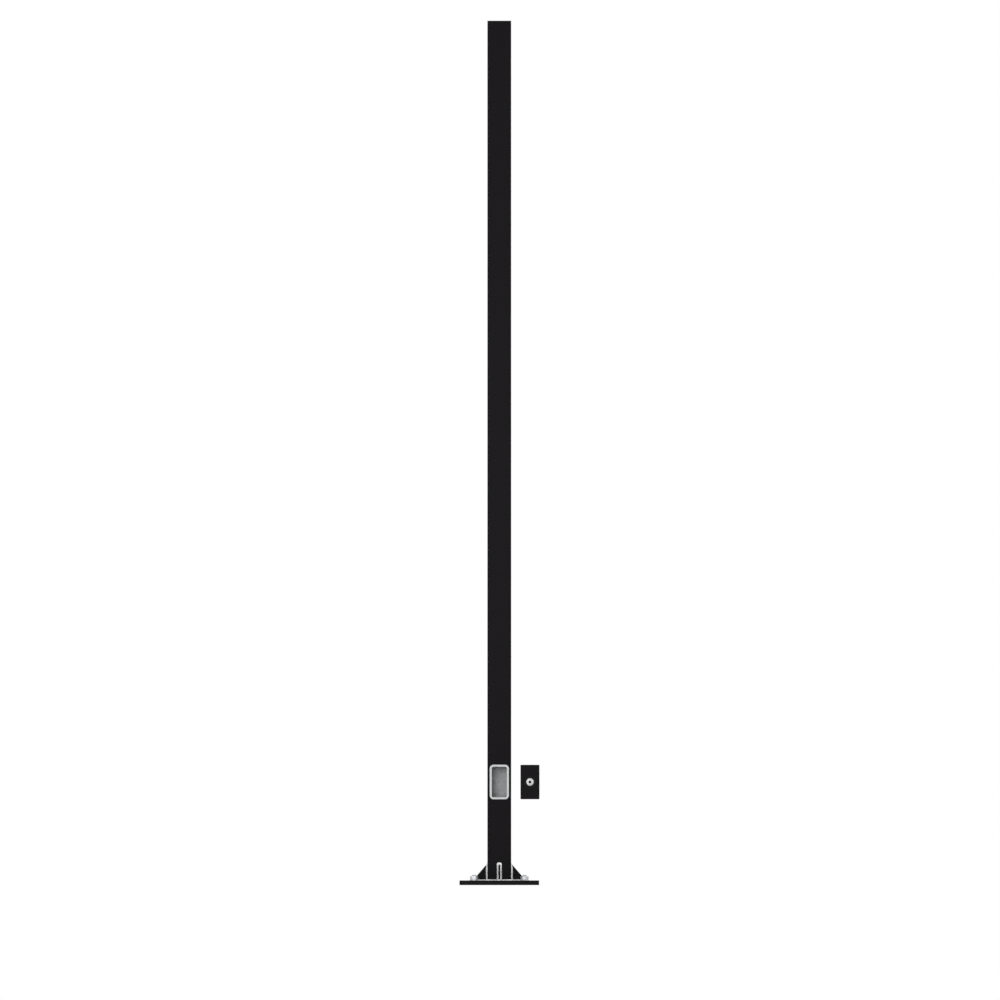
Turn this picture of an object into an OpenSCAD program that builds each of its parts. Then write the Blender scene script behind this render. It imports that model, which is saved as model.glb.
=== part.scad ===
// Square steel light pole on a gusseted base plate, with a hand hole and its loose cover.
// +Z is up and the hand hole faces -Y. The origin is the middle of the base plate's underside,
// which lies on the footing at ground level.

/* [Shaft] */
// Length of the square shaft, from the base plate to the cap
shaft_h = 3658; // [1200:1:5000]
// Width of the shaft across its flats
shaft_w = 101.6; // [92:0.1:125]
// Wall thickness of the shaft
shaft_wall = 4.5; // [3:0.1:6]
// Outside radius of the shaft's corners
shaft_corner_r = 9; // [7.5:0.5:14]

/* [Cap] */
// Thickness of the cap's flat top
cap_t = 12; // [6:0.5:20]
// Depth of the cap's plug inside the shaft
cap_plug_h = 20; // [10:1:60]
// Thickness of the cap's plug
cap_plug_t = 4; // [2:0.5:8]
// Gap between the cap's plug and the shaft's inner wall
cap_clearance = 0.3; // [0.1:0.1:1]

/* [Base plate] */
// Width of the square base plate
plate_w = 340; // [290:1:420]
// Thickness of the base plate
plate_t = 20; // [12:0.5:32]
// Radius of the base plate's corners
plate_corner_r = 12; // [4:1:30]
// Diameter of the hole under the shaft that the cables come up through
cable_hole_d = 74; // [30:1:88]

/* [Gussets] */
// Thickness of a gusset
gusset_t = 8; // [5:0.5:16]
// Height of a gusset above the base plate
gusset_h = 68; // [40:1:120]
// Reach of a gusset out from the shaft
gusset_reach = 47; // [25:1:80]
// Height of a gusset's blunt outer end
gusset_nose_h = 18; // [5:1:30]
// Width of a gusset's blunt top end
gusset_top_w = 4; // [3:1:20]

/* [Anchor bolts] */
// Distance between neighbouring anchor bolts, on a square
bolt_spacing = 216; // [190:1:260]
// Diameter of the plain shank of an anchor bolt
bolt_d = 20; // [12:0.5:24]
// Amount by which the threaded end is thinner than the shank, on the diameter
thread_relief = 0.5; // [0.3:0.1:1]
// Clearance round an anchor bolt in the base plate, on the radius
bolt_clearance = 3; // [1.5:0.5:5]
// Outside diameter of a washer
washer_d = 37; // [32:0.5:50]
// Thickness of a washer
washer_t = 3; // [2:0.5:6]
// Distance across the flats of a nut
nut_af = 30; // [28:0.5:40]
// Height of a nut
nut_h = 16; // [10:0.5:24]
// Length of thread left showing above a nut
thread_above_nut = 5; // [2:0.5:60]
// Gap between an anchor bolt's thread and what is threaded over it, on the radius
thread_clearance = 0.15; // [0.1:0.05:0.4]

/* [Hand hole] */
// Height of the hand hole's centre above the ground
hole_z = 440; // [250:1:800]
// Width of the clear opening
opening_w = 64; // [50:1:72]
// Height of the clear opening
opening_h = 130; // [100:1:180]
// Corner radius of the clear opening
opening_r = 8; // [4:1:20]
// Width of the frame's face all round the opening
frame_face_w = 9; // [5:0.5:12]
// Thickness of the frame's face, which lies on the shaft
frame_face_t = 3; // [2:0.5:6]
// Wall thickness of the frame's sleeve, which lines the hole in the shaft
sleeve_t = 3; // [2:0.5:5]
// Depth of the frame's sleeve behind the shaft's face
sleeve_depth = 7; // [5:0.5:14]
// Gap between the sleeve and the hole in the shaft
sleeve_clearance = 0.3; // [0.1:0.1:1]

/* [Cover] */
// Distance that the cover's edges lie inside the frame's edges when it is on
cover_inset = 0.5; // [0:0.5:4]
// Thickness of the cover
cover_t = 4; // [2:0.5:6]
// Corner radius of the cover
cover_corner_r = 3; // [1:0.5:12]
// Gap left between the cover and the frame's face when the cover is on
cover_gap = 0.5; // [0.2:0.1:2]
// Distance that the cover lies to the right of the hand hole when it is off
cover_off_side = 131; // [115:1:200]
// Distance that the cover lies in front of its seat when it is off
cover_off_front = 150; // [145:1:260]

/* [Lock] */
// Diameter of the rubber seal under the lock ring
seal_d = 46; // [36:1:60]
// Thickness of the rubber seal
seal_t = 1.5; // [1:0.5:4]
// Outside diameter of the lock ring
ring_d = 31; // [28:1:44]
// Thickness of the lock ring
ring_t = 4; // [3.5:0.5:8]
// Depth of the recess in the lock ring that takes the screw's head
ring_recess = 2; // [1:0.5:2.5]
// Gap between the lock screw's head and the recess, behind the head
head_gap = 0.3; // [0.1:0.1:1]
// Gap between the lock screw's head and the recess, on the radius
head_clearance = 1; // [0.3:0.1:2]
// Diameter of the lock screw's head
head_d = 20; // [16:0.5:24]
// Thickness of the lock screw's head
head_t = 4; // [3:0.5:8]
// Distance across the flats of the lock screw's socket
socket_af = 10; // [5:0.5:12]
// Depth of the lock screw's socket
socket_depth = 2.5; // [1:0.5:3]
// Diameter of the lock screw's shank
shank_d = 10; // [6:0.5:12]
// Gap round the lock screw's shank, on the radius
shank_clearance = 0.1; // [0.05:0.05:0.3]
// Gap between the lock screw's riveted end and the clamp bar, on the radius
rivet_clearance = 0.05; // [0.02:0.01:0.2]
// Length of the riveted end that stands behind the clamp bar
rivet_h = 1; // [0.5:0.5:2]
// Width of the clamp bar
bar_w = 12; // [10:0.5:14]
// Thickness of the clamp bar
bar_t = 3; // [2:0.5:5]
// Distance that the clamp bar reaches past each side of the opening
bar_overlap = 6; // [3:0.5:8]
// Gap between the clamp bar and the frame's sleeve before the screw is tightened
bar_clearance = 5; // [2:0.5:8]

/* [Hidden] */
$fn = 64;

// Finishes
black_paint = [0.12, 0.12, 0.125];
zinc = [0.70, 0.71, 0.72];
cast_aluminium = [0.80, 0.81, 0.82];
stainless = [0.84, 0.84, 0.83];
black_rubber = [0.04, 0.04, 0.04];

// Distance that a cut runs past the faces it opens
overrun = 1;

// Shaft and cap
bore_w = shaft_w - 2 * shaft_wall;
bore_corner_r = shaft_corner_r - shaft_wall;
plug_w = bore_w - 2 * cap_clearance;
plug_corner_r = bore_corner_r - cap_clearance;

// Anchor bolts 1 to 4 run round the plate from the front left corner, seen from above
bolt_corners = [[-1, -1], [1, -1], [1, 1], [-1, 1]];
washer_top = plate_t + washer_t;
nut_top = washer_top + nut_h;
thread_d = bolt_d - thread_relief;
threaded_hole_d = thread_d + 2 * thread_clearance;

// Hand hole frame
frame_w = opening_w + 2 * frame_face_w;
frame_h = opening_h + 2 * frame_face_w;
frame_r = opening_r + frame_face_w;
sleeve_w = opening_w + 2 * sleeve_t;
sleeve_h = opening_h + 2 * sleeve_t;
sleeve_r = opening_r + sleeve_t;
seat_y = -(shaft_w / 2 + frame_face_t);

// Cover, as large as the frame that it lies on
cover_w = frame_w - 2 * cover_inset;
cover_h = frame_h - 2 * cover_inset;

// Depths of the lock's pieces, measured inwards from the cover's back face
ring_front = -(cover_t + seal_t + ring_t);
head_back = ring_front + ring_recess - head_gap;
bar_front = cover_gap + frame_face_t + sleeve_depth + bar_clearance;
bar_back = bar_front + bar_t;
bar_l = opening_w + 2 * bar_overlap;
head_recess_d = head_d + 2 * head_clearance;
hole_in_cover_d = shank_d + 2 * shank_clearance;

// Flat rectangle with round corners, centred
module rounded_rect(w, h, r) {
    square([w - 2 * r, h], center = true);
    square([w, h - 2 * r], center = true);
    for (x = [-1, 1], y = [-1, 1])
        translate([x * (w / 2 - r), y * (h / 2 - r)])
            circle(r = r);
}

// Upright slab with round corners: its front face is at y = front and it runs inwards by depth
module upright_slab(w, h, r, front, depth) {
    translate([0, front + depth, 0])
        rotate([90, 0, 0])
            linear_extrude(depth)
                rounded_rect(w, h, r);
}

// Round bar that lies along Y, from y = front inwards by depth
module cross_bar(d, front, depth) {
    translate([0, front + depth, 0])
        rotate([90, 0, 0])
            cylinder(d = d, h = depth);
}

// Hexagonal prism, stood on its base and sized across its flats
module hex_prism(af, h) {
    cylinder(d = af / cos(30), h = h, $fn = 6);
}

// Puts its children where the cover lies when it is off
module at_cover() {
    translate([cover_off_side, seat_y - cover_gap - cover_off_front, hole_z])
        children();
}

// Puts its children at one of the four anchor bolts
module at_bolt(number) {
    translate(bolt_corners[number - 1] * bolt_spacing / 2)
        children();
}

module shaft() {
    color(black_paint)
        difference() {
            translate([0, 0, plate_t])
                linear_extrude(shaft_h)
                    rounded_rect(shaft_w, shaft_w, shaft_corner_r);
            translate([0, 0, plate_t - overrun])
                linear_extrude(shaft_h + 2 * overrun)
                    rounded_rect(bore_w, bore_w, bore_corner_r);
            translate([0, 0, hole_z])
                upright_slab(
                    sleeve_w + 2 * sleeve_clearance, sleeve_h + 2 * sleeve_clearance,
                    sleeve_r + sleeve_clearance,
                    -shaft_w / 2 - overrun, shaft_wall + 2 * overrun);
        }
}

module pole_cap() {
    color(black_paint)
        translate([0, 0, plate_t + shaft_h]) {
            linear_extrude(cap_t)
                rounded_rect(shaft_w, shaft_w, shaft_corner_r);
            translate([0, 0, -cap_plug_h])
                linear_extrude(cap_plug_h)
                    difference() {
                        rounded_rect(plug_w, plug_w, plug_corner_r);
                        square(plug_w - 2 * cap_plug_t, center = true);
                    }
        }
}

module base_plate() {
    color(black_paint)
        difference() {
            linear_extrude(plate_t)
                rounded_rect(plate_w, plate_w, plate_corner_r);
            translate([0, 0, -overrun])
                cylinder(d = cable_hole_d, h = plate_t + 2 * overrun);
            for (number = [1:4])
                at_bolt(number)
                    translate([0, 0, -overrun])
                        cylinder(d = bolt_d + 2 * bolt_clearance, h = plate_t + 2 * overrun);
        }
}

// Upright web welded between the shaft and the base plate, turned to face angle
module gusset(angle) {
    color(black_paint)
        rotate([0, 0, angle])
            translate([shaft_w / 2, 0, plate_t])
                rotate([90, 0, 0])
                    linear_extrude(gusset_t, center = true)
                        polygon([
                            [0, 0],
                            [gusset_reach, 0],
                            [gusset_reach, gusset_nose_h],
                            [gusset_top_w, gusset_h],
                            [0, gusset_h]
                        ]);
}

module gusset_front() {
    gusset(-90);
}

module gusset_right() {
    gusset(0);
}

module gusset_back() {
    gusset(90);
}

module gusset_left() {
    gusset(180);
}

module hand_hole_frame() {
    color(cast_aluminium)
        translate([0, 0, hole_z])
            difference() {
                union() {
                    upright_slab(frame_w, frame_h, frame_r, seat_y, frame_face_t);
                    upright_slab(
                        sleeve_w, sleeve_h, sleeve_r,
                        seat_y + frame_face_t / 2, frame_face_t / 2 + sleeve_depth);
                }
                upright_slab(
                    opening_w, opening_h, opening_r,
                    seat_y - overrun, frame_face_t + sleeve_depth + 2 * overrun);
            }
}

module cover_plate() {
    color(black_paint)
        at_cover()
            difference() {
                upright_slab(cover_w, cover_h, cover_corner_r, -cover_t, cover_t);
                cross_bar(hole_in_cover_d, -cover_t - overrun, cover_t + 2 * overrun);
            }
}

module lock_seal() {
    color(black_rubber)
        at_cover()
            difference() {
                cross_bar(seal_d, -cover_t - seal_t, seal_t);
                cross_bar(hole_in_cover_d, -cover_t - seal_t - overrun, seal_t + 2 * overrun);
            }
}

module lock_ring() {
    color(stainless)
        at_cover()
            difference() {
                cross_bar(ring_d, ring_front, ring_t);
                cross_bar(head_recess_d, ring_front - overrun, ring_recess + overrun);
                cross_bar(hole_in_cover_d, ring_front - overrun, ring_t + 2 * overrun);
            }
}

module lock_screw() {
    color(stainless)
        at_cover()
            difference() {
                union() {
                    cross_bar(head_d, head_back - head_t, head_t);
                    cross_bar(shank_d, head_back - head_t / 2, head_t / 2 + bar_back + rivet_h - head_back);
                }
                translate([0, head_back - head_t + socket_depth, 0])
                    rotate([90, 0, 0])
                        hex_prism(socket_af, socket_depth + overrun);
            }
}

// Bar riveted to the end of the lock screw: upright it passes the opening, crosswise it holds
module clamp_bar() {
    color(zinc)
        at_cover()
            difference() {
                upright_slab(bar_w, bar_l, bar_w / 4, bar_front, bar_t);
                cross_bar(shank_d + 2 * rivet_clearance, bar_front - overrun, bar_t + 2 * overrun);
            }
}

module anchor_bolt(number) {
    color(zinc)
        at_bolt(number) {
            cylinder(d = bolt_d, h = plate_t);
            cylinder(d = thread_d, h = nut_top + thread_above_nut);
        }
}

module anchor_washer(number) {
    color(zinc)
        at_bolt(number)
            translate([0, 0, plate_t])
                difference() {
                    cylinder(d = washer_d, h = washer_t);
                    translate([0, 0, -overrun])
                        cylinder(d = threaded_hole_d, h = washer_t + 2 * overrun);
                }
}

module anchor_nut(number) {
    color(zinc)
        at_bolt(number)
            translate([0, 0, washer_top])
                difference() {
                    hex_prism(nut_af, nut_h);
                    translate([0, 0, -overrun])
                        cylinder(d = threaded_hole_d, h = nut_h + 2 * overrun);
                }
}

shaft();
pole_cap();
base_plate();
gusset_front();
gusset_right();
gusset_back();
gusset_left();
hand_hole_frame();
cover_plate();
lock_seal();
lock_ring();
lock_screw();
clamp_bar();
anchor_bolt(1);  // anchor_bolt_1
anchor_bolt(2);  // anchor_bolt_2
anchor_bolt(3);  // anchor_bolt_3
anchor_bolt(4);  // anchor_bolt_4
anchor_washer(1);  // anchor_washer_1
anchor_washer(2);  // anchor_washer_2
anchor_washer(3);  // anchor_washer_3
anchor_washer(4);  // anchor_washer_4
anchor_nut(1);  // anchor_nut_1
anchor_nut(2);  // anchor_nut_2
anchor_nut(3);  // anchor_nut_3
anchor_nut(4);  // anchor_nut_4
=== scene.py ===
import math

import bmesh
import bpy
from mathutils import Matrix, Vector


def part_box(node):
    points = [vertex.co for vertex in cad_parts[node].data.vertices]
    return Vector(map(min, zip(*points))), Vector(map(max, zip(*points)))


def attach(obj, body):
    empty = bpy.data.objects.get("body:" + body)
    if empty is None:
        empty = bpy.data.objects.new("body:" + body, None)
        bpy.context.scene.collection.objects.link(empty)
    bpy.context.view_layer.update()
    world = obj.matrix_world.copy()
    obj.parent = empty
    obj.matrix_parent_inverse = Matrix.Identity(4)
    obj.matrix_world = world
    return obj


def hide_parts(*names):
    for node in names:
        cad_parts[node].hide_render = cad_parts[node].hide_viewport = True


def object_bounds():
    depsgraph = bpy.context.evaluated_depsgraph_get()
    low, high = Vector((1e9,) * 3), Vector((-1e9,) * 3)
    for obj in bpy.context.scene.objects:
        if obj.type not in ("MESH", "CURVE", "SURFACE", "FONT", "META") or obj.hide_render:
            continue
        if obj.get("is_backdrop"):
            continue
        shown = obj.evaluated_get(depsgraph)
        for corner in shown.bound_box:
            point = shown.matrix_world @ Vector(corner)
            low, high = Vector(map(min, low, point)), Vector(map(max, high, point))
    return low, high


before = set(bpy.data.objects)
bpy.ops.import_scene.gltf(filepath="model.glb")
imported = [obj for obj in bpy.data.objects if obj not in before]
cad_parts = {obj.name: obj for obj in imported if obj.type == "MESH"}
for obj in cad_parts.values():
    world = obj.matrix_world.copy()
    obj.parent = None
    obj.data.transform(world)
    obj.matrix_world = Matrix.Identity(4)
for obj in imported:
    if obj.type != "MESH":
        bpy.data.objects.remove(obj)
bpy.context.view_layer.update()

# Sizes that the CAD boxes don't give, in metres.
SHAFT_CORNER_R = 0.009
# Half the width inside which the tube's bare galvanised wall shows.
BARE_WALL_REACH = 0.0475
NUT_BORE_R = 0.0099
THREAD_R = 0.00975
THREAD_PITCH = 0.0025
THREAD_DEPTH = 0.0013
STUD_CHAMFER = 0.0016
WASHER_BORE_R = 0.0105
SCREW_HEAD_T = 0.004
SCREW_SHANK_R = 0.005
SOCKET_ACROSS = 0.010
SOCKET_DEPTH = 0.0032
RING_RECESS_R = 0.011
RING_RECESS = 0.002
RING_BORE_R = 0.0051

# How far the edges of each painted, cast or plated piece are eased.
SHAFT_EASE = 0.0007
CAP_EASE = 0.0016
FOOT_EASE = 0.0014
GUSSET_EASE = 0.0008
RIM_EASE = 0.0012
COVER_EASE = 0.0006
CLAMP_BAR_EASE = 0.0004

# The welds: the leg of each kind of bead, how tightly it turns, and the ripples it is laid in.
UPRIGHT_LEG = 0.0072
TOP_LEG = 0.0095
FOOT_LEG = 0.005
TURN_R = 0.0015
WELD_STEP = 0.00032
RIPPLE_PITCH = 0.0021
RIPPLE_HEIGHT = 0.1
RIPPLE_BOW = 4.5
RIPPLE_DRIFT = 0.012
WELD_FLATNESS = 0.42
WELD_UNEVENNESS = 0.24
WELD_SEED = 4.0
# Where the bead up a gusset starts to widen below its top, and where a foot weld starts off the shaft.
SHOULDER_DROP = 0.014
FOOT_WELD_GAP = 0.002

# The light that the pale room gives, and the front elevation that the camera takes in.
ROOM_LIGHT = 0.68
VIEW_SPAN = 4.269
VIEW_RIGHT = 0.003
VIEW_BELOW_TOP = 2.046
VIEW_DISTANCE = 8.0

CORNERS = ("1", "2", "3", "4")
GUSSET_SIDES = {
    "front": Vector((0, -1, 0)),
    "right": Vector((1, 0, 0)),
    "back": Vector((0, 1, 0)),
    "left": Vector((-1, 0, 0)),
}
UP = Vector((0, 0, 1))


# ---------------------------------------------------------------- node trees

class Bench:
    """A node tree as it is laid out: each step adds a node and joins what feeds it."""

    def __init__(self, tree):
        self.tree = tree

    def add(self, kind, feeds=None, **settings):
        node = self.tree.nodes.new(kind)
        for name, value in settings.items():
            setattr(node, name, value)
        for socket, value in (feeds or {}).items():
            self.feed(node.inputs[socket], value)
        return node

    def feed(self, socket, value):
        if isinstance(value, bpy.types.Node):
            value = next(s for s in value.outputs if s.enabled)
        if isinstance(value, bpy.types.NodeSocket):
            self.tree.links.new(value, socket)
        else:
            socket.default_value = value

    def sum(self, operation, *terms):
        """One Math node, such as MULTIPLY or SINE."""
        node = self.add("ShaderNodeMath", dict(enumerate(terms)), operation=operation)
        return node.outputs[0]

    def vector(self, operation, *terms):
        node = self.add("ShaderNodeVectorMath", dict(enumerate(terms)), operation=operation)
        return node.outputs[0]

    def scaled(self, vector, by):
        node = self.add("ShaderNodeVectorMath", {"Vector": vector, "Scale": by}, operation="SCALE")
        return node.outputs[0]

    def parts(self, vector):
        node = self.add("ShaderNodeSeparateXYZ", {"Vector": vector})
        return node.outputs["X"], node.outputs["Y"], node.outputs["Z"]

    def seen(self):
        """1 where the camera, a mirror or glass sees a surface, and 0 where it only lights others."""
        path = self.add("ShaderNodeLightPath").outputs
        mirrored = self.sum("MAXIMUM", path["Is Glossy Ray"], path["Is Transmission Ray"])
        return self.sum("MAXIMUM", path["Is Camera Ray"], mirrored)

    def spread(self, value, low, high, to_low=0.0, to_high=1.0):
        """A value taken from one range to another, and held at its ends."""
        feeds = {
            "Value": value,
            "From Min": low,
            "From Max": high,
            "To Min": to_low,
            "To Max": to_high,
        }
        return self.add("ShaderNodeMapRange", feeds).outputs["Result"]


# ------------------------------------------------------------------ finishes

class Finish(Bench):
    """A material of one metal, paint or rubber, worked out on the piece's own coordinates."""

    def __init__(self, name):
        self.material = bpy.data.materials.new(name)
        self.material.use_nodes = True
        super().__init__(self.material.node_tree)
        self.tree.nodes.clear()
        self.shader = self.add("ShaderNodeBsdfPrincipled")
        self.add("ShaderNodeOutputMaterial", {"Surface": self.shader.outputs["BSDF"]})
        self.place = self.add("ShaderNodeTexCoord").outputs["Object"]

    def set(self, **sockets):
        for name, value in sockets.items():
            self.feed(self.shader.inputs[name.replace("_", " ")], value)

    def noise(self, scale, detail=2.0, rough=0.5, place=None):
        feeds = {
            "Vector": self.place if place is None else place,
            "Scale": scale,
            "Detail": detail,
            "Roughness": rough,
        }
        return self.add("ShaderNodeTexNoise", feeds).outputs["Fac"]

    def cells(self, scale):
        """A grey that differs from crystal to crystal."""
        feeds = {"Vector": self.place, "Scale": scale}
        colour = self.add("ShaderNodeTexVoronoi", feeds).outputs["Color"]
        return self.parts(colour)[0]

    def stretched(self, x, y, z):
        return self.add("ShaderNodeMapping", {"Vector": self.place, "Scale": (x, y, z)}).outputs[0]

    def mix(self, share, first, second):
        node = self.add("ShaderNodeMix", {0: share, 6: first, 7: second}, data_type="RGBA")
        return node.outputs[2]

    def blend(self, share, first, second):
        node = self.add("ShaderNodeMix", {0: share, 2: first, 3: second}, data_type="FLOAT")
        return node.outputs[0]

    def relief(self, height, depth, strength=1.0, over=None):
        feeds = {"Height": height, "Distance": depth, "Strength": strength}
        if over is not None:
            feeds["Normal"] = over
        return self.add("ShaderNodeBump", feeds).outputs[0]

    def marked(self, attribute):
        return self.add("ShaderNodeAttribute", attribute_name=attribute).outputs["Fac"]


def grey(value):
    return (value, value, value, 1)


def powder_coat(name, bore=None):
    """Black powder coat: orange peel, faint dust low down, and a thin coat on the worn edges.
    bore is half the width inside which the bare galvanised wall of a tube shows."""
    f = Finish(name)
    peel = f.noise(380, 1.0, 0.4)
    patches = f.noise(2.5, 2.0)
    speckle = f.noise(1900, 2.0)
    height = f.parts(f.place)[2]
    dusty = f.sum("MULTIPLY", f.spread(height, 0.09, 0.0), f.spread(f.noise(120, 5.0), 0.45, 0.8))
    worn = f.sum("MULTIPLY", f.marked("worn_edge"), f.spread(f.noise(150, 4.0), 0.45, 0.7, 0.15, 1.0))
    coat = f.mix(patches, (0.0028, 0.0018, 0.0027, 1), (0.0035, 0.0024, 0.0034, 1))
    coat = f.mix(f.spread(speckle, 0.5, 0.75, 0, 0.4), coat, (0.0052, 0.0044, 0.0052, 1))
    coat = f.mix(f.sum("MULTIPLY", worn, 0.35), coat, grey(0.05))
    coat = f.mix(f.sum("MULTIPLY", dusty, 0.09), coat, (0.13, 0.12, 0.105, 1))
    gloss = f.spread(f.noise(6, 1.0), 0.3, 0.7, 0.46, 0.49)
    gloss = f.sum("ADD", gloss, f.sum("MULTIPLY", dusty, 0.12))
    surface = f.relief(speckle, 0.00002, 0.4, f.relief(peel, 0.0003, 0.7))
    if bore is None:
        f.set(Base_Color=coat, Roughness=gloss, Normal=surface)
    else:
        across, deep, _ = f.parts(f.place)
        reach = f.sum("MAXIMUM", f.sum("ABSOLUTE", across), f.sum("ABSOLUTE", deep))
        inside = f.sum("LESS_THAN", reach, bore)
        spangle = f.mix(f.cells(85), (0.37, 0.375, 0.38, 1), (0.46, 0.465, 0.47, 1))
        spangle = f.mix(f.spread(f.noise(14, 5.0), 0.5, 0.8, 0, 0.4), spangle, grey(0.5))
        f.set(
            Base_Color=f.mix(inside, coat, spangle),
            Metallic=f.sum("MULTIPLY", inside, 0.35),
            Roughness=f.blend(inside, gloss, 0.5),
            Normal=surface,
        )
    f.set(Specular_IOR_Level=0.08)
    return f.material


def hot_dip_zinc(name):
    """Hot-dip galvanised steel: soft grey crystals, a slightly uneven skin and dull patches."""
    f = Finish(name)
    crystals = f.cells(330)
    dull = f.spread(f.noise(75, 4.0), 0.45, 0.72)
    tone = f.mix(crystals, (0.50, 0.51, 0.53, 1), (0.66, 0.67, 0.69, 1))
    tone = f.mix(f.sum("MULTIPLY", dull, 0.5), tone, (0.60, 0.60, 0.585, 1))
    worn = f.marked("worn_edge")
    f.set(
        Base_Color=f.mix(f.sum("MULTIPLY", worn, 0.4), tone, grey(0.78)),
        Metallic=0.85,
        Roughness=f.blend(dull, f.spread(crystals, 0, 1, 0.34, 0.46), 0.6),
        Normal=f.relief(f.noise(900, 3.0), 0.00008, 0.45, f.relief(f.noise(160, 2.0), 0.0003, 0.3)),
    )
    return f.material


def cast_aluminium(name):
    """Blasted cast aluminium: a fine even grain with a few pits, brighter on the eased edges."""
    f = Finish(name)
    grain = f.noise(1900, 3.0, 0.65)
    cloud = f.noise(38, 4.0)
    pits = f.spread(f.noise(620, 1.0), 0.28, 0.2)
    tone = f.mix(cloud, (0.42, 0.425, 0.43, 1), (0.48, 0.48, 0.485, 1))
    tone = f.mix(f.sum("MULTIPLY", f.marked("worn_edge"), 0.5), tone, grey(0.72))
    f.set(
        Base_Color=f.mix(f.sum("MULTIPLY", pits, 0.5), tone, grey(0.35)),
        Metallic=0.8,
        Roughness=f.spread(grain, 0.3, 0.7, 0.42, 0.6),
        Normal=f.relief(pits, 0.0002, -0.6, f.relief(grain, 0.00012, 0.8)),
    )
    return f.material


def turned_stainless(name, axis_x, axis_z):
    """Stainless steel faced on a lathe: fine rings about the lock's axis."""
    f = Finish(name)
    x, _, z = f.parts(f.place)
    aside = f.sum("POWER", f.sum("SUBTRACT", x, axis_x), 2.0)
    above = f.sum("POWER", f.sum("SUBTRACT", z, axis_z), 2.0)
    from_axis = f.sum("POWER", f.sum("ADD", aside, above), 0.5)
    tool_feed = 0.00032
    rings = f.sum("SINE", f.sum("MULTIPLY", from_axis, 2 * math.pi / tool_feed))
    fine = f.noise(1400, 2.0)
    smudge = f.spread(f.noise(90, 3.0), 0.4, 0.7)
    tone = f.mix(smudge, (0.45, 0.45, 0.445, 1), (0.39, 0.385, 0.38, 1))
    f.set(
        Base_Color=f.mix(f.sum("MULTIPLY", f.marked("worn_edge"), 0.5), tone, grey(0.55)),
        Metallic=1.0,
        Roughness=f.sum("ADD", 0.27, f.sum("MULTIPLY", fine, 0.16)),
        Normal=f.relief(rings, 0.000012, 0.5, f.relief(fine, 0.00002, 0.3)),
    )
    return f.material


def socket_shade_black(name):
    """Painted shade inside the lock's hex socket: a near-black, greasy finish standing in for the shade of
    the recess.
    """
    f = Finish(name)
    painted_shade = f.noise(900, 4.0)
    f.set(
        Base_Color=f.mix(painted_shade, grey(0.002), grey(0.006)),
        Roughness=f.spread(painted_shade, 0.3, 0.7, 0.75, 0.95),
        Normal=f.relief(painted_shade, 0.00006, 0.4),
    )
    f.set(Specular_IOR_Level=0.05)
    return f.material


def black_rubber(name):
    """Moulded rubber with a dull skin and a dusty bloom."""
    f = Finish(name)
    skin = f.noise(1500, 3.0)
    bloom = f.spread(f.noise(120, 4.0), 0.45, 0.75)
    f.set(
        Base_Color=f.mix(f.sum("MULTIPLY", bloom, 0.4), grey(0.007), grey(0.022)),
        Roughness=f.spread(bloom, 0, 1, 0.72, 0.9),
        Normal=f.relief(skin, 0.00008, 0.4),
    )
    f.set(Specular_IOR_Level=0.2)
    return f.material


def zinc_plate(name):
    """Bright zinc plate over a rolled bar: lines along its length and a faint blue and straw cast."""
    f = Finish(name)
    lines = f.noise(900, 3.0, place=f.stretched(1, 1, 0.06))
    cast = f.noise(55, 3.0)
    tone = f.mix(cast, (0.60, 0.62, 0.67, 1), (0.70, 0.68, 0.60, 1))
    f.set(
        Base_Color=f.mix(f.sum("MULTIPLY", f.marked("worn_edge"), 0.5), tone, grey(0.8)),
        Metallic=1.0,
        Roughness=f.spread(lines, 0.3, 0.7, 0.24, 0.4),
        Normal=f.relief(lines, 0.00003, 0.5),
    )
    return f.material


def zinc_sprayed_weld(name):
    """Weld metal sprayed with pale zinc paint, with painted shade darkening the valleys between the ripples,
    and rubbed bare in places.
    """
    f = Finish(name)
    # Painted shade: where the stored crest is low, in the valleys between ripples, the weld is darkened.
    painted_shade = f.spread(f.marked("crest"), 0.0, 0.45, 0.6, 0.0)
    spray = f.noise(700, 4.0)
    bare = f.spread(f.noise(160, 4.0), 0.52, 0.72)
    tone = f.mix(spray, (0.74, 0.74, 0.75, 1), (0.92, 0.92, 0.93, 1))
    tone = f.mix(painted_shade, tone, (0.30, 0.29, 0.28, 1))
    f.set(
        Base_Color=f.mix(f.sum("MULTIPLY", bare, 0.6), tone, (0.47, 0.45, 0.43, 1)),
        Metallic=0.7,
        Roughness=f.spread(spray, 0.3, 0.7, 0.42, 0.62),
        Normal=f.relief(spray, 0.00012, 0.6),
    )
    return f.material


# ------------------------------------------------------------- mesh workshop

def middle(node):
    low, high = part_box(node)
    return (low + high) / 2


def new_piece(name, mesh):
    piece = bpy.data.objects.new(name, mesh)
    bpy.context.scene.collection.objects.link(piece)
    return piece


def mesh_of(bm, name):
    mesh = bpy.data.meshes.new(name)
    bm.to_mesh(mesh)
    bm.free()
    stale = mesh.attributes.get("custom_normal")
    if stale is not None:
        mesh.attributes.remove(stale)
    return mesh


def settle(piece):
    """Turns a piece and its modifiers into one plain mesh."""
    bpy.context.view_layer.update()
    graph = bpy.context.evaluated_depsgraph_get()
    plain = bpy.data.meshes.new_from_object(piece.evaluated_get(graph), depsgraph=graph)
    piece.modifiers.clear()
    piece.data = plain
    return piece


def keep_flats(piece, crease=None):
    """Smooth shading that leaves the large faces flat, with a hard line past the crease angle."""
    for face in piece.data.polygons:
        face.use_smooth = True
    if crease is not None:
        piece.data.set_sharp_from_angle(angle=math.radians(crease))
    weigh = piece.modifiers.new("flat faces stay flat", "WEIGHTED_NORMAL")
    weigh.mode = "FACE_AREA"
    weigh.weight = 100
    weigh.keep_sharp = True
    return settle(piece)


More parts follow.
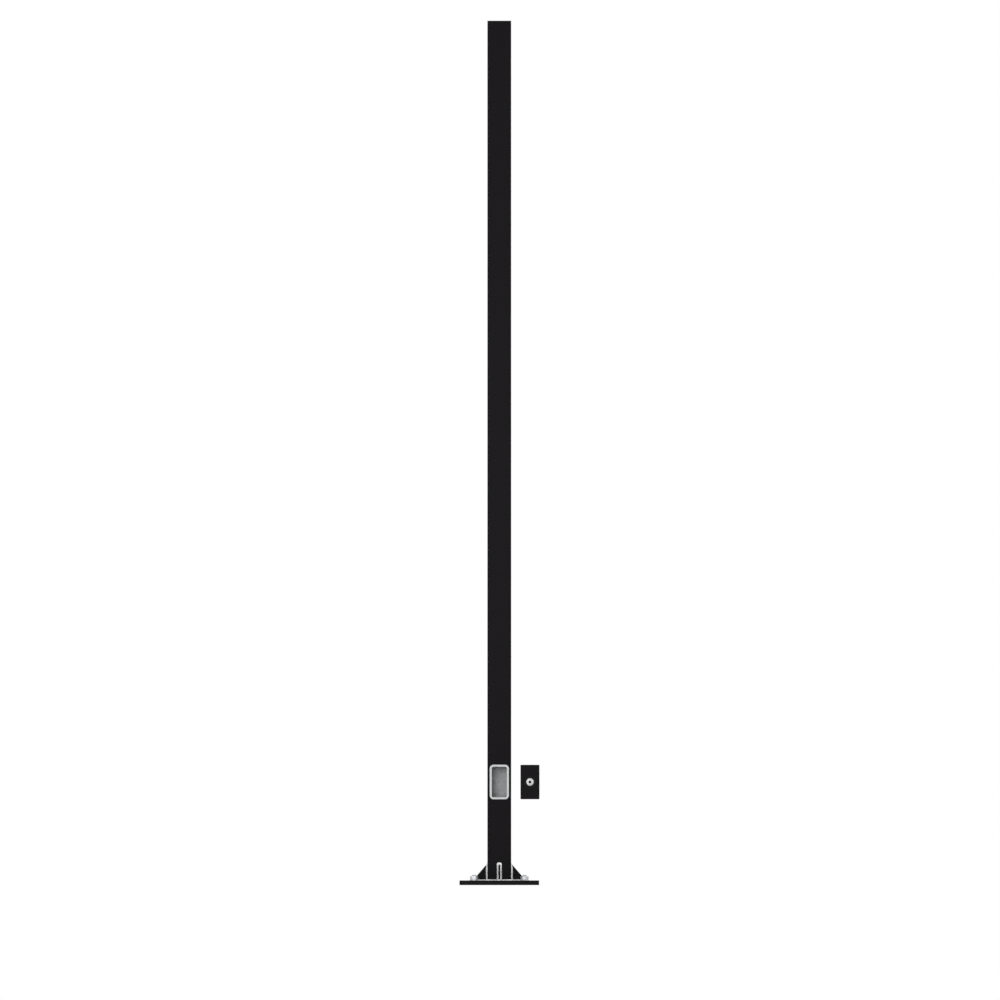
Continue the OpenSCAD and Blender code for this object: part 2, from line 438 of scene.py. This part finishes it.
def paint(piece, *materials):
    """Gives a piece its finishes. With several, each face keeps its own number."""
    numbers = [face.material_index for face in piece.data.polygons]
    piece.data.materials.clear()
    for material in materials:
        piece.data.materials.append(material)
    if len(materials) > 1:
        piece.data.polygons.foreach_set("material_index", numbers)


def fit(piece, body, slot, *nodes):
    """The piece rides on a body and stands for CAD nodes, which are hidden. slot is not used."""
    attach(piece, body)
    if nodes:
        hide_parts(*nodes)
    return piece


def mark_worn(bm, strips):
    """Marks the middle of each eased strip, and leaves the large faces beside it unmarked."""
    worn = bm.verts.layers.float.new("worn_edge")
    eased = set(strips)
    for face in strips:
        for vert in face.verts:
            if eased.issuperset(vert.link_faces):
                vert[worn] = 1.0


def eased_copy(node, name, radius, steps=3, sharp=35):
    """A merged copy of a CAD node with every sharp edge eased, and the eased strips marked as worn."""
    bm = bmesh.new()
    bm.from_mesh(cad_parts[node].data)
    bmesh.ops.remove_doubles(bm, verts=bm.verts, dist=1e-6)
    bmesh.ops.dissolve_limit(bm, angle_limit=math.radians(0.5), verts=bm.verts, edges=bm.edges)
    edges = []
    for edge in bm.edges:
        if len(edge.link_faces) == 2 and edge.calc_face_angle(0) > math.radians(sharp):
            edges.append(edge)
    eased = bmesh.ops.bevel(bm, geom=edges, offset=radius, offset_type="OFFSET", segments=steps,
                            profile=0.5, affect="EDGES", clamp_overlap=False)
    mark_worn(bm, eased["faces"])
    return keep_flats(new_piece(name, mesh_of(bm, name)))


def eased_piece(node, name, ease, finish, body, slot, steps=3):
    """An eased copy of one CAD node that is painted and stands for it."""
    piece = eased_copy(node, name, ease, steps)
    paint(piece, finish)
    return fit(piece, body, slot, node)


def hexagon(across):
    """How far a hexagon's edge is from its middle at each angle, with two corners on the X axis."""
    def reach(angle):
        return across / 2 / math.cos(angle % (math.pi / 3) - math.pi / 6)
    return reach


def turned(name, rings, place, around=72, dark=(), ring_shaped=True, worn=()):
    """A solid worked on an axis. rings are (height, radius), where the radius may depend on the angle.
    A ring-shaped solid joins its last ring to its first, and another closes at both ends.
    dark numbers the bands between rings that take the second finish, and worn the rings that rub."""
    bm = bmesh.new()
    worn_mark = bm.verts.layers.float.new("worn_edge")
    loops = []
    for index, (height, radius) in enumerate(rings):
        loop = []
        for step in range(around):
            angle = 2 * math.pi * step / around
            reach = radius(angle) if callable(radius) else radius
            spot = Vector((reach * math.cos(angle), reach * math.sin(angle), height))
            vert = bm.verts.new(place @ spot)
            vert[worn_mark] = 1.0 if index in worn else 0.0
            loop.append(vert)
        loops.append(loop)
    pairs = list(zip(loops, loops[1:]))
    if ring_shaped:
        pairs.append((loops[-1], loops[0]))
    else:
        bm.faces.new(loops[0])
        bm.faces.new(loops[-1])
    for index, (first, second) in enumerate(pairs):
        for step in range(around):
            onward = (step + 1) % around
            face = bm.faces.new((first[step], first[onward], second[onward], second[step]))
            face.material_index = 1 if index in dark else 0
    if not ring_shaped and dark:
        # A closed solid's far end takes the second finish too: on the lock screw, the socket's floor in
        # painted shade.
        bm.faces.ensure_lookup_table()
        last_end = bm.faces[1]
        last_end.material_index = 1
    bmesh.ops.recalc_face_normals(bm, faces=bm.faces)
    return keep_flats(new_piece(name, mesh_of(bm, name)), crease=28)


# ------------------------------------------------------------ geometry trees

def new_tree(name, **inputs):
    """A new geometry node tree with named inputs. Returns its bench and its inputs."""
    tree = bpy.data.node_groups.new(name, "GeometryNodeTree")
    tree.interface.new_socket("Geometry", in_out="INPUT", socket_type="NodeSocketGeometry")
    tree.interface.new_socket("Geometry", in_out="OUTPUT", socket_type="NodeSocketGeometry")
    for label, kind in inputs.items():
        tree.interface.new_socket(label.replace("_", " "), in_out="INPUT", socket_type="NodeSocket" + kind)
    bench = Bench(tree)
    given = bench.add("NodeGroupInput").outputs
    return bench, given


def end_tree(bench, given, geometry):
    """Makes every copy real, gives the geometry its finish and ends the tree."""
    real = bench.add("GeometryNodeRealizeInstances", {"Geometry": geometry})
    done = bench.add("GeometryNodeSetMaterial", {"Geometry": real, "Material": given["Finish"]})
    bench.add("NodeGroupOutput", {0: done.outputs[0]})
    return bench.tree


def run_tree(piece, tree, **values):
    """Runs a geometry tree on a piece with these inputs and keeps the plain mesh."""
    made = piece.modifiers.new(tree.name, "NODES")
    made.node_group = tree
    sockets = {}
    for item in tree.interface.items_tree:
        if item.item_type == "SOCKET" and item.in_out == "INPUT":
            sockets[item.name] = item.identifier
    for label, value in values.items():
        made[sockets[label.replace("_", " ")]] = value
    return settle(piece)


def weld_tree():
    """A fillet weld along each run: a quarter bead in the corner that its leans give, laid in ripples."""
    b, given = new_tree(
        "weld run", Ripple_pitch="Float", Ripple_height="Float", Flatness="Float",
        Unevenness="Float", Seed="Float", Finish="Material")
    run = b.add("GeometryNodeMeshToCurve", {"Mesh": given["Geometry"]})

    def stored(name, kind="FLOAT"):
        return b.add("GeometryNodeInputNamedAttribute", {"Name": name}, data_type=kind).outputs[0]

    def keep(geometry, name, value, kind="FLOAT"):
        feeds = {"Geometry": geometry, "Name": name, "Value": value}
        return b.add("GeometryNodeStoreNamedAttribute", feeds, data_type=kind)

    leg = stored("leg")
    taper = b.spread(b.sum("DIVIDE", stored("to_end"), leg), 0.0, 0.7, 0.45, 1.0)
    place = b.add("GeometryNodeInputPosition")
    feeds = {"Vector": place, "Scale": 130.0, "Detail": 2.0}
    drift = b.add("ShaderNodeTexNoise", feeds, noise_dimensions="4D")
    b.feed(drift.inputs["W"], given["Seed"])
    wander = b.sum("MULTIPLY", b.sum("SUBTRACT", drift.outputs["Fac"], 0.5), given["Unevenness"])
    size = b.sum("MULTIPLY", b.sum("MULTIPLY", leg, taper), b.sum("ADD", 1.0, wander))
    run = keep(run, "bead_size", size)
    run = keep(run, "spot", place, "FLOAT_VECTOR")
    feeds = {"Resolution": 9, "Radius": 1.0, "Connect Center": True}
    arc = b.add("GeometryNodeCurveArc", feeds, mode="RADIUS")
    b.feed(arc.inputs["Start Angle"], 0.0)
    b.feed(arc.inputs["Sweep Angle"], math.pi / 2)
    x, y, _ = b.parts(b.add("GeometryNodeInputPosition"))
    bulge = b.sum("SUBTRACT", 1.0, b.sum("MULTIPLY", given["Flatness"], b.sum("MULTIPLY", x, y)))
    sunk = 0.05
    section = keep(arc.outputs["Curve"], "across", b.sum("SUBTRACT", b.sum("MULTIPLY", x, bulge), sunk))
    section = keep(section, "rise", b.sum("SUBTRACT", b.sum("MULTIPLY", y, bulge), sunk))
    bead = b.add("GeometryNodeCurveToMesh", {"Curve": run, "Profile Curve": section, "Fill Caps": True})
    middle_of_bead = b.sum("MULTIPLY", stored("across"), stored("rise"))
    late = b.sum("MULTIPLY", b.sum("MULTIPLY", middle_of_bead, RIPPLE_BOW), given["Ripple pitch"])
    travel = b.sum("ADD", stored("travel"), b.sum("ADD", late, b.sum("MULTIPLY", wander, RIPPLE_DRIFT)))
    beat = b.sum("FRACT", b.sum("DIVIDE", travel, given["Ripple pitch"]))
    swing = b.sum("ABSOLUTE", b.sum("SUBTRACT", b.sum("MULTIPLY", beat, 2.0), 1.0))
    hump = b.sum("SUBTRACT", 1.0, b.sum("POWER", swing, 2.5))
    # The crest height is kept for the weld's finish, which paints shade into the valleys between the
    # ripples.
    bead = keep(bead, "crest", hump)
    ripple = b.sum("MULTIPLY", b.sum("SUBTRACT", hump, 0.6), given["Ripple height"])
    one = b.scaled(stored("lean_a", "FLOAT_VECTOR"), stored("across"))
    other = b.scaled(stored("lean_b", "FLOAT_VECTOR"), stored("rise"))
    reach = b.sum("MULTIPLY", stored("bead_size"), b.sum("ADD", 1.0, ripple))
    out = b.scaled(b.vector("ADD", one, other), reach)
    where = b.vector("ADD", stored("spot", "FLOAT_VECTOR"), out)
    laid = b.add("GeometryNodeSetPosition", {"Geometry": bead, "Position": where})
    smooth = b.add("GeometryNodeSetShadeSmooth", {"Geometry": laid})
    return end_tree(b, given, smooth.outputs[0])


def thread_tree():
    """A threaded stud standing on each given point: a plain shank below and a helical thread above."""
    b, given = new_tree(
        "threaded stud", Length="Float", Radius="Float", Shank_radius="Float", Shank_length="Float",
        Pitch="Float", Depth="Float", Chamfer="Float", Finish="Material")
    rows = b.sum("DIVIDE", given["Length"], b.sum("DIVIDE", given["Pitch"], 8.0))
    rod = b.add("GeometryNodeMeshCylinder", {"Vertices": 40, "Radius": 1.0}, fill_type="TRIANGLE_FAN")
    b.feed(rod.inputs["Side Segments"], rows)
    b.feed(rod.inputs["Depth"], given["Length"])
    x, y, z = b.parts(b.add("GeometryNodeInputPosition"))
    height = b.sum("ADD", z, b.sum("DIVIDE", given["Length"], 2.0))
    turn = b.sum("DIVIDE", b.sum("ARCTAN2", y, x), 2 * math.pi)
    beat = b.sum("FRACT", b.sum("SUBTRACT", b.sum("DIVIDE", height, given["Pitch"]), turn))
    flank = b.sum("ABSOLUTE", b.sum("SUBTRACT", b.sum("MULTIPLY", beat, 2.0), 1.0))
    crest = b.spread(flank, 0.2, 0.85)
    groove = b.sum("MULTIPLY", given["Depth"], b.sum("SUBTRACT", 1.0, crest))
    threaded = b.sum("SUBTRACT", given["Radius"], groove)
    above = b.sum("GREATER_THAN", height, given["Shank length"])
    both = b.sum("ADD", b.sum("MULTIPLY", threaded, above),
                 b.sum("MULTIPLY", given["Shank radius"], b.sum("SUBTRACT", 1.0, above)))
    left = b.sum("SUBTRACT", given["Length"], height)
    point = b.sum("ADD", b.sum("SUBTRACT", given["Radius"], given["Chamfer"]), left)
    reach = b.sum("MINIMUM", both, point)
    across = b.sum("MULTIPLY", x, reach)
    deep = b.sum("MULTIPLY", y, reach)
    where = b.add("ShaderNodeCombineXYZ", {"X": across, "Y": deep, "Z": height})
    shaped = b.add("GeometryNodeSetPosition", {"Geometry": rod.outputs["Mesh"], "Position": where})
    smooth = b.add("GeometryNodeSetShadeSmooth", {"Geometry": shaped})
    stood = b.add("GeometryNodeInstanceOnPoints", {"Points": given["Geometry"], "Instance": smooth})
    return end_tree(b, given, stood.outputs[0])


def repeat_tree():
    """One copy of a fitting standing on each given point."""
    b, given = new_tree("one at each bolt", Fitting="Object", Finish="Material")
    fitting = b.add("GeometryNodeObjectInfo", {"Object": given["Fitting"]}).outputs["Geometry"]
    stood = b.add("GeometryNodeInstanceOnPoints", {"Points": given["Geometry"], "Instance": fitting})
    return end_tree(b, given, stood.outputs[0])


# -------------------------------------------------------------------- pieces

BLACK = powder_coat("black powder coat")
BLACK_TUBE = powder_coat("black powder coat over galvanised tube", bore=BARE_WALL_REACH)
ZINC = hot_dip_zinc("hot dip galvanised fixings")
ALUMINIUM = cast_aluminium("blasted cast aluminium")
lock_spot = middle("lock_ring")
STAINLESS = turned_stainless("turned stainless steel", lock_spot.x, lock_spot.z)
# Painted shade: the near-black finish inside the lock screw's hex socket.
SOCKET_SHADE = socket_shade_black("blackened hex socket")
RUBBER = black_rubber("black lock seal rubber")
BRIGHT_ZINC = zinc_plate("bright zinc plate")
WELD = zinc_sprayed_weld("zinc sprayed weld")


def painted_steel():
    """The shaft, cap, foot plate and gussets: black steel with eased edges."""
    eased_piece("shaft", "shaft_tube", SHAFT_EASE, BLACK_TUBE, "pole", "black_paint")
    eased_piece("pole_cap", "cap_casting", CAP_EASE, BLACK, "pole", "black_paint", steps=4)
    eased_piece("base_plate", "foot_plate", FOOT_EASE, BLACK, "pole", "black_paint")
    for side in GUSSET_SIDES:
        name = "gusset_plate_" + side
        eased_piece("gusset_" + side, name, GUSSET_EASE, BLACK, "pole", "black_paint")


def rounded_turn(corner, first, second):
    """A quarter turn of weld just inside a corner: points whose lean swings from first to second."""
    centre = corner - (first + second) * TURN_R
    points = []
    for step in range(7):
        angle = math.pi / 2 * step / 6
        lean = first * math.cos(angle) + second * math.sin(angle)
        points.append((centre + lean * TURN_R, lean))
    return points


def over_the_gusset(out, across, half, thick, foot, top):
    """The weld up one side of a gusset, over its narrow top on the shaft's face, and down the other side."""
    left = out * half - across * thick
    right = out * half + across * thick
    over = rounded_turn(left + UP * top, -across, UP) + rounded_turn(right + UP * top, UP, across)
    shoulder = UP * (top - SHOULDER_DROP)
    run = [(left + UP * foot, -across, out, UPRIGHT_LEG)]
    run.append((left + shoulder, -across, out, UPRIGHT_LEG))
    for spot, lean in over:
        high = max(0.0, lean.dot(UP))
        flattened = 0.62 - 0.16 * high
        leg = UPRIGHT_LEG + (TOP_LEG - UPRIGHT_LEG) * high
        run.append((spot, lean, out * flattened, leg))
    run.append((right + shoulder, across, out, UPRIGHT_LEG))
    run.append((right + UP * foot, across, out, UPRIGHT_LEG))
    return run


def round_the_nose(out, across, half, thick, tip, foot):
    """The weld along one side of a gusset's foot, round its nose and back along the other side."""
    run = [(out * (half + FOOT_WELD_GAP) - across * thick, -across)]
    run += rounded_turn(out * tip - across * thick, -across, out)
    run += rounded_turn(out * tip + across * thick, out, across)
    run.append((out * (half + FOOT_WELD_GAP) + across * thick, across))
    return [(spot + UP * foot, lean, UP, FOOT_LEG) for spot, lean in run]


def round_the_corner(out, across, half, start, foot):
    """The weld round one corner of the shaft's foot, from one gusset to the next."""
    centre = half - SHAFT_CORNER_R
    run = [(out * half + across * start, out)]
    for step in range(10):
        angle = math.pi / 2 * step / 9
        lean = out * math.cos(angle) + across * math.sin(angle)
        run.append(((out + across) * centre + lean * SHAFT_CORNER_R, lean))
    run.append((across * half + out * start, across))
    return [(spot + UP * foot, lean, UP, FOOT_LEG) for spot, lean in run]


def mid_bead(spot, lean, rise, leg):
    """A point about half way through the bead, which travels further than its root at a turn."""
    return spot + (lean + rise) * leg / 2


def weld_beads():
    """All the welds at the foot as one piece."""
    bm = bmesh.new()
    lean_a = bm.verts.layers.float_vector.new("lean_a")
    lean_b = bm.verts.layers.float_vector.new("lean_b")
    marks = [bm.verts.layers.float.new(name) for name in ("leg", "travel", "to_end")]

    def lay(run):
        """Sets out one run in short steps, each marked with how far the bead has travelled."""
        steps = []
        travel = 0.0
        for start, end in zip(run, run[1:]):
            reach = (mid_bead(*end) - mid_bead(*start)).length
            count = max(1, round(reach / WELD_STEP))
            for step in range(count):
                share = step / count
                spot, lean, rise = (one.lerp(other, share) for one, other in zip(start[:3], end[:3]))
                leg = start[3] + (end[3] - start[3]) * share
                steps.append((spot, lean.normalized(), rise, leg, travel + reach * share))
            travel += reach
        steps.append((*run[-1], travel))
        before = None
        for spot, lean, rise, leg, far in steps:
            vert = bm.verts.new(spot)
            vert[lean_a] = lean
            vert[lean_b] = rise
            for mark, value in zip(marks, (leg, far, min(far, travel - far))):
                vert[mark] = value
            if before is not None:
                bm.edges.new((before, vert))
            before = vert

    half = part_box("shaft")[1].x
    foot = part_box("base_plate")[1].z
    for side, out in GUSSET_SIDES.items():
        across = UP.cross(out)
        low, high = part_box("gusset_" + side)
        size = high - low
        thick = min(size.x, size.y) / 2
        tip = half + max(size.x, size.y)
        lay(over_the_gusset(out, across, half, thick, foot, high.z))
        lay(round_the_nose(out, across, half, thick, tip, foot))
        lay(round_the_corner(out, across, half, thick + FOOT_WELD_GAP, foot))
    beads = new_piece("weld_beads", mesh_of(bm, "weld_beads"))
    run_tree(beads, weld_tree(), Ripple_pitch=RIPPLE_PITCH, Ripple_height=RIPPLE_HEIGHT,
             Flatness=WELD_FLATNESS, Unevenness=WELD_UNEVENNESS, Seed=WELD_SEED, Finish=WELD)
    bm = bmesh.new()
    bm.from_mesh(beads.data)
    bmesh.ops.recalc_face_normals(bm, faces=bm.faces)
    beads.data = mesh_of(bm, "weld_beads")
    for mark in ("lean_a", "lean_b", "leg", "travel", "to_end", "spot", "across", "rise", "bead_size"):
        spent = beads.data.attributes.get(mark)
        if spent is not None:
            beads.data.attributes.remove(spent)
    paint(beads, WELD)
    fit(beads, "pole", "galvanised_steel")


def bolt_points(name, height):
    """A mesh of four loose points, one at each anchor bolt."""
    bm = bmesh.new()
    for corner in CORNERS:
        spot = middle("anchor_bolt_" + corner)
        bm.verts.new((spot.x, spot.y, height))
    return new_piece(name, mesh_of(bm, name))


def hex_nut(name, height, across):
    """A hexagon nut with both ends chamfered to a round face and a countersunk bore."""
    flat = hexagon(across)
    face_r = across * 0.475
    lip = 0.0002
    drop = 0.0003
    countersink = 0.001
    chamfer_slope = math.tan(math.radians(30))
    corner_r = across / 2 / math.cos(math.pi / 6) - drop

    def limited(limit):
        return lambda angle: min(flat(angle), limit, corner_r)

    ends = [(0.0, face_r - 2 * lip), (lip, face_r)]
    for step in range(1, 8):
        ends.append((lip + drop * step, limited(face_r + drop * step / chamfer_slope)))
    rings = list(ends)
    rings += [(height - low, radius) for low, radius in reversed(ends)]
    rings += [(height, NUT_BORE_R + countersink), (height - countersink, NUT_BORE_R)]
    rings += [(countersink, NUT_BORE_R), (0.0, NUT_BORE_R + countersink)]
    return turned(name, rings, Matrix.Identity(4), around=96, worn=(1, 16))


def round_washer(name, height, radius):
    """A punched flat washer with rolled-over edges."""
    ease = 0.0005
    bore_ease = 0.0004
    rings = []
    for step in range(4):
        angle = math.pi / 2 * step / 3
        rings.append((ease - ease * math.cos(angle), radius - ease + ease * math.sin(angle)))
    for step in range(4):
        angle = math.pi / 2 * step / 3
        rings.append((height - ease + ease * math.sin(angle), radius - ease + ease * math.cos(angle)))
    rings += [(height, WASHER_BORE_R + bore_ease), (height - bore_ease, WASHER_BORE_R)]
    rings += [(bore_ease, WASHER_BORE_R), (0.0, WASHER_BORE_R + bore_ease)]
    return turned(name, rings, Matrix.Identity(4), worn=range(0, 8))


def all_four(kind):
    """The CAD nodes of one kind of anchor fixing."""
    return ["anchor_" + kind + "_" + corner for corner in CORNERS]


def anchor_fixings():
    """The four studs, washers and nuts that hold the foot plate down."""
    low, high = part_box("anchor_bolt_1")
    washer_low, washer_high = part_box("anchor_washer_1")
    nut_low, nut_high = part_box("anchor_nut_1")
    studs = bolt_points("anchor_studs", low.z)
    run_tree(studs, thread_tree(), Length=high.z - low.z, Radius=THREAD_R,
             Shank_radius=(high.x - low.x) / 2, Shank_length=washer_low.z - 0.001,
             Pitch=THREAD_PITCH, Depth=THREAD_DEPTH, Chamfer=STUD_CHAMFER, Finish=ZINC)
    paint(studs, ZINC)
    fit(studs, "pole", "galvanised_steel", *all_four("bolt"))
    repeat = repeat_tree()
    washer_r = (washer_high.x - washer_low.x) / 2
    washer = round_washer("washer_pattern", washer_high.z - washer_low.z, washer_r)
    nut = hex_nut("nut_pattern", nut_high.z - nut_low.z, nut_high.y - nut_low.y)
    for kind, pattern, height in (("washer", washer, washer_low.z), ("nut", nut, nut_low.z)):
        fixings = bolt_points("anchor_" + kind + "s", height)
        run_tree(fixings, repeat, Fitting=pattern, Finish=ZINC)
        paint(fixings, ZINC)
        fit(fixings, "pole", "galvanised_steel", *all_four(kind))
        bpy.data.objects.remove(pattern)


def hand_hole_rim():
    """The cast rim round the hand hole."""
    eased_piece("hand_hole_frame", "hand_hole_rim", RIM_EASE, ALUMINIUM, "pole", "cast_aluminium", steps=4)


def facing_front(node):
    """A place for a turned piece: its axis is the lock's, its foot at the node's back, facing the front."""
    low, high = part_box(node)
    foot = Vector(((low.x + high.x) / 2, high.y, (low.z + high.z) / 2))
    return Matrix.Translation(foot) @ Matrix.Rotation(math.pi / 2, 4, "X")


def radius_and_length(node):
    """The radius of one of the lock's round nodes, and its length along the lock's axis."""
    low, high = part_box(node)
    return (high.x - low.x) / 2, high.y - low.y


def lock_seal():
    """The rubber washer under the lock, with its front edge rounded."""
    radius, thick = radius_and_length("lock_seal")
    clearance = 0.0006
    bore_r = SCREW_SHANK_R + clearance
    rings = [(0.0, radius - 0.0002), (0.0003, radius), (thick - 0.0006, radius)]
    rings += [(thick - 0.0002, radius - 0.0003), (thick, radius - 0.0008)]
    rings += [(thick, SCREW_SHANK_R + 2 * clearance), (thick - 0.0003, bore_r)]
    rings.append((0.0, bore_r))
    seal = turned("lock_seal_washer", rings, facing_front("lock_seal"), worn=(3, 4))
    paint(seal, RUBBER)
    fit(seal, "cover", "black_rubber", "lock_seal")


def lock_ring():
    """The ring that the screw's head sits in: a flat face with a round recess."""
    radius, thick = radius_and_length("lock_ring")
    rings = [(0.0, radius - 0.0003), (0.0003, radius), (thick - 0.0009, radius)]
    rings += [(thick - 0.0004, radius - 0.0002), (thick - 0.0001, radius - 0.0006)]
    rings += [(thick, radius - 0.0012), (thick, RING_RECESS_R + 0.0005)]
    rings += [(thick - 0.0004, RING_RECESS_R), (thick - RING_RECESS, RING_RECESS_R)]
    rings += [(thick - RING_RECESS, RING_BORE_R), (0.0, RING_BORE_R)]
    ring = turned("lock_ring_turned", rings, facing_front("lock_ring"), around=96, worn=(3, 4, 6))
    paint(ring, STAINLESS)
    fit(ring, "cover", "stainless_steel", "lock_ring")


def lock_screw():
    """The quarter-turn screw: a plain shank, a low round head and a hexagon socket finished near-black as
    painted shade.
    """
    head_r, length = radius_and_length("lock_screw")
    back = length - SCREW_HEAD_T
    floor = length - SOCKET_DEPTH
    socket = hexagon(SOCKET_ACROSS)
    rings = [(0.0, SCREW_SHANK_R - 0.0016), (0.0003, SCREW_SHANK_R - 0.0006), (0.0008, SCREW_SHANK_R)]
    rings += [(back - 0.0001, SCREW_SHANK_R), (back, SCREW_SHANK_R + 0.0002)]
    rings += [(back, head_r - 0.0003), (back + 0.0003, head_r), (length - 0.0011, head_r)]
    rings += [(length - 0.0005, head_r - 0.0002), (length - 0.0001, head_r - 0.0007)]
    rings += [(length, head_r - 0.0013), (length, SOCKET_ACROSS / 2 + 0.0011)]
    rings += [(length - 0.0004, lambda angle: socket(angle) + 0.0001), (length - 0.0006, socket)]
    rings += [(floor, socket), (floor, SOCKET_ACROSS / 2 - 0.0002), (floor - 0.0006, 0.0004)]
    # The socket's walls take the second finish, the painted shade.
    screw = turned("lock_screw_turned", rings, facing_front("lock_screw"), around=96,
                   dark=(11, 12, 13, 14, 15), ring_shaped=False, worn=(8, 9, 11))
    paint(screw, STAINLESS, SOCKET_SHADE)
    fit(screw, "lock", "stainless_steel", "lock_screw")


def cover_and_lock():
    """The hand hole's cover with its lock: seal, ring, screw and clamp bar."""
    eased_piece("cover_plate", "hand_hole_cover", COVER_EASE, BLACK, "cover", "black_paint")
    lock_seal()
    lock_ring()
    lock_screw()
    eased_piece("clamp_bar", "clamp_bar_plated", CLAMP_BAR_EASE, BRIGHT_ZINC, "lock", "zinc_plate")


painted_steel()
weld_beads()
anchor_fixings()
hand_hole_rim()
cover_and_lock()


# ------------------------------------------------------------ floor and light

def pale_floor():
    """A wide pale disc that fades into the white backdrop and keeps the pole's shadow."""
    bm = bmesh.new()
    bmesh.ops.create_circle(bm, cap_ends=True, radius=9.0, segments=96)
    floor = new_piece("floor", mesh_of(bm, "floor"))
    f = Finish("pale floor")
    f.set(Base_Color=f.mix(f.noise(6, 3.0), grey(0.84), grey(0.88)), Roughness=0.9)
    f.set(Specular_IOR_Level=0.1)
    x, y, _ = f.parts(f.place)
    away = f.sum("SQRT", f.sum("ADD", f.sum("MULTIPLY", x, x), f.sum("MULTIPLY", y, y)))
    fade = f.sum("MULTIPLY", f.seen(), f.spread(away, 0.5, 3.2))
    white = f.add("ShaderNodeEmission", {"Color": (1, 1, 1, 1), "Strength": 1.0})
    both = f.add("ShaderNodeMixShader", {0: fade, 1: f.shader.outputs["BSDF"], 2: white.outputs[0]})
    output = next(n for n in f.tree.nodes if n.bl_idname == "ShaderNodeOutputMaterial")
    f.feed(output.inputs["Surface"], both.outputs[0])
    paint(floor, f.material)
    floor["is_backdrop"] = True


def studio_world():
    """An even pale room: white where it is seen or mirrored, and a plain level where it lights."""
    world = bpy.data.worlds.new("studio")
    world.use_nodes = True
    bpy.context.scene.world = world
    b = Bench(world.node_tree)
    world.node_tree.nodes.clear()
    room = b.add("ShaderNodeBackground", {"Color": (0.97, 0.985, 1, 1), "Strength": ROOM_LIGHT})
    white = b.add("ShaderNodeBackground", {"Color": (1, 1, 1, 1), "Strength": 1.0})
    both = b.add("ShaderNodeMixShader", {0: b.seen(), 1: room, 2: white})
    b.add("ShaderNodeOutputWorld", {"Surface": both})


def soft_lamp(name, spot, width, height, power):
    lamp = bpy.data.lights.new(name, "AREA")
    lamp.shape = "RECTANGLE"
    lamp.size = width
    lamp.size_y = height
    lamp.energy = power
    stand = bpy.data.objects.new(name, lamp)
    bpy.context.scene.collection.objects.link(stand)
    stand.location = spot
    aim = Vector((0, 0, 1.6)) - Vector(spot)
    stand.rotation_euler = aim.to_track_quat("-Z", "Y").to_euler()


def camera():
    """A straight front elevation that holds the whole pole."""
    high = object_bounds()[1]
    view = bpy.data.cameras.new("front elevation")
    view.type = "ORTHO"
    view.ortho_scale = VIEW_SPAN
    view.clip_end = 100
    stand = bpy.data.objects.new("front elevation", view)
    bpy.context.scene.collection.objects.link(stand)
    stand.location = (VIEW_RIGHT, -VIEW_DISTANCE, high.z - VIEW_BELOW_TOP)
    stand.rotation_euler = (math.pi / 2, 0, 0)
    bpy.context.scene.camera = stand


pale_floor()
studio_world()
soft_lamp("key lamp, front left", (-1.5, -6.9, 1.9), 2.5, 3.0, 130)
soft_lamp("fill lamp, right", (6.0, -2.6, 2.8), 3.0, 3.5, 80)
soft_lamp("side lamp, left", (-6.0, 1.5, 3.6), 3.0, 3.5, 70)
soft_lamp("back lamp", (2.2, 6.4, 4.0), 3.0, 3.5, 110)
camera()
bpy.context.scene.view_settings.view_transform = "Standard"
